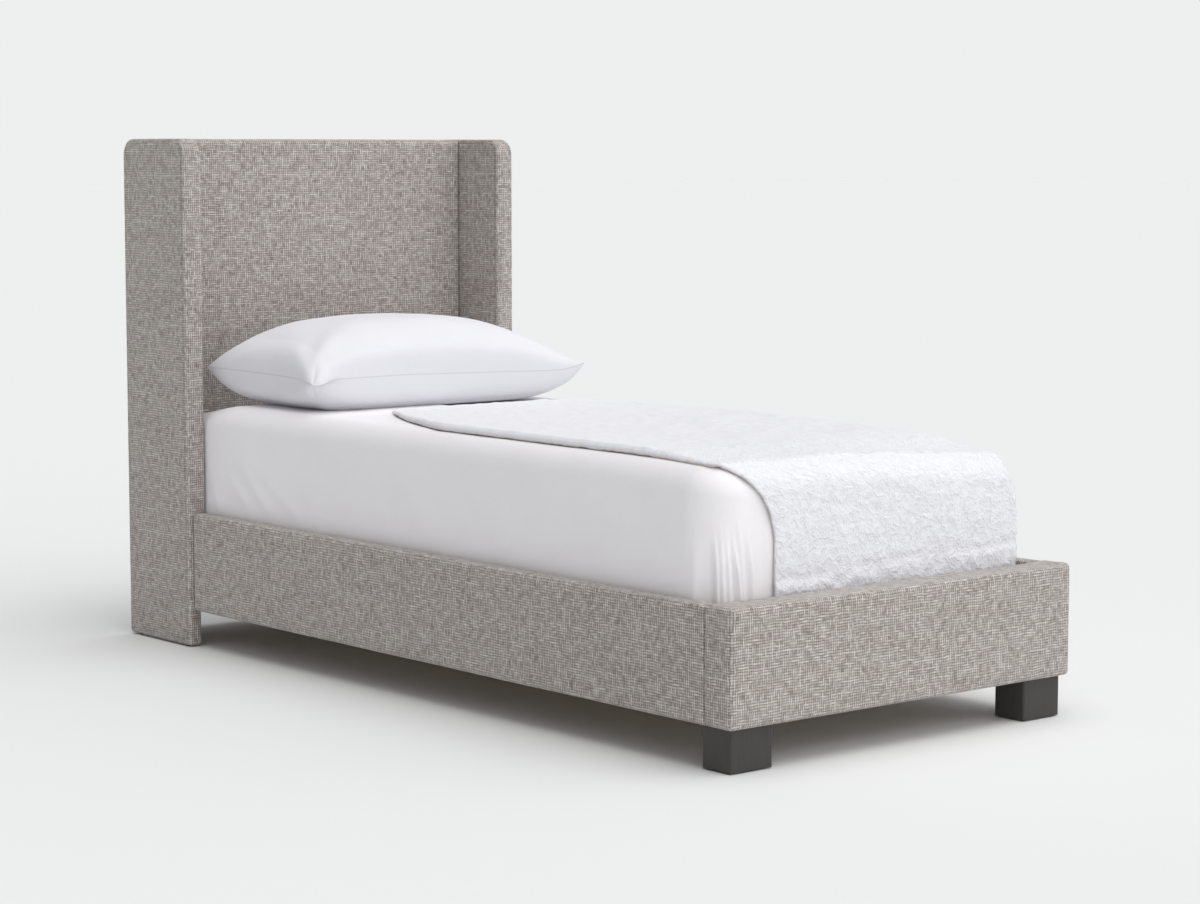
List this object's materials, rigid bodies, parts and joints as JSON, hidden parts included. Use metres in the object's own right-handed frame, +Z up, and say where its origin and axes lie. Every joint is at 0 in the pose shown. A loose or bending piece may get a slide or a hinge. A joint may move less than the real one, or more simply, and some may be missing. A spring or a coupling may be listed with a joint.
{
  "type": "upholstered bed",
  "caption": "Single bed with a fabric-covered winged headboard, padded side rails and footboard on block feet, slatted base, mattress, fitted sheet, quilt and pillow.",
  "frame": {"origin": "on the floor, below the middle of the bed's plan", "axes": "+X across the bed towards the side that the picture doesn't show, +Y along the bed towards the headboard, +Z up"},
  "size_m": [1.006, 2.24, 1.24],
  "materials": {
    "upholstery": "warm grey slub weave, matt",
    "back_cloth": "plain dark lining cloth",
    "foam": "open-cell foam and wadding",
    "pine": "planed, unfinished",
    "board": "plywood, unfinished",
    "dark_wood": "charcoal stain under satin lacquer",
    "felt": "pressed felt",
    "glide_plastic": "moulded",
    "steel": "zinc plated",
    "webbing": "woven tape",
    "mattress_foam": "foam and sprung core",
    "ticking": "knitted ticking",
    "sheet": "smooth white cotton",
    "quilt": "puckered white matelasse cotton",
    "pillow_filling": "fibre filling in a cotton inner",
    "pillowcase": "smooth white cotton"
  },
  "bodies": {
    "bed_frame": {"cleat_screws": "steel", "foot_bolts": "steel", "foot_bracket_left": "steel", "foot_bracket_right": "steel", "foot_left": "dark_wood", "foot_pads": "felt", "foot_right": "dark_wood", "footboard_back_panel": "board", "footboard_bottom_batten": "pine", "footboard_cover": "upholstery", "footboard_end_block_left": "pine", "footboard_end_block_right": "pine", "footboard_front_panel": "board", "footboard_padding": "foam", "footboard_top_batten": "pine", "head_plate_left": "steel", "head_plate_right": "steel", "headboard_back_board": "board", "headboard_back_cloth": "back_cloth", "headboard_cover": "upholstery", "headboard_crossbar_bottom": "pine", "headboard_crossbar_middle": "pine", "headboard_crossbar_top": "pine", "headboard_face_board": "board", "headboard_foam": "foam", "headboard_stile_left": "pine", "headboard_stile_right": "pine", "plate_bolts": "steel", "rail_board_left": "board", "rail_board_right": "board", "rail_cleat_left": "pine", "rail_cleat_right": "pine", "rail_cover_left": "upholstery", "rail_cover_right": "upholstery", "rail_padding_left": "foam", "rail_padding_right": "foam", "slat_screws": "steel", "slat_strap_left": "webbing", "slat_strap_right": "webbing", "slats": "pine", "wing_board_left": "board", "wing_board_right": "board", "wing_bolts": "steel", "wing_cleat_left": "pine", "wing_cleat_right": "pine", "wing_cover_left": "upholstery", "wing_cover_right": "upholstery", "wing_glides": "glide_plastic", "wing_padding_left": "foam", "wing_padding_right": "foam"},
    "mattress_and_covers": {"mattress_core": "mattress_foam", "mattress_ticking": "ticking", "fitted_sheet": "sheet", "quilt": "quilt"},
    "pillow_in_case": {"pillow": "pillow_filling", "pillowcase": "pillowcase"}
  },
  "joints": [
    {"name": "mattress_lift", "type": "slide", "parent": "bed_frame", "child": "mattress_and_covers", "axis": [0, 0, 1], "range_m": [0, 0.35]},
    {"name": "pillow_lift", "type": "slide", "parent": "mattress_and_covers", "child": "pillow_in_case", "axis": [0, 0, 1], "range_m": [0, 0.3]}
  ]
}
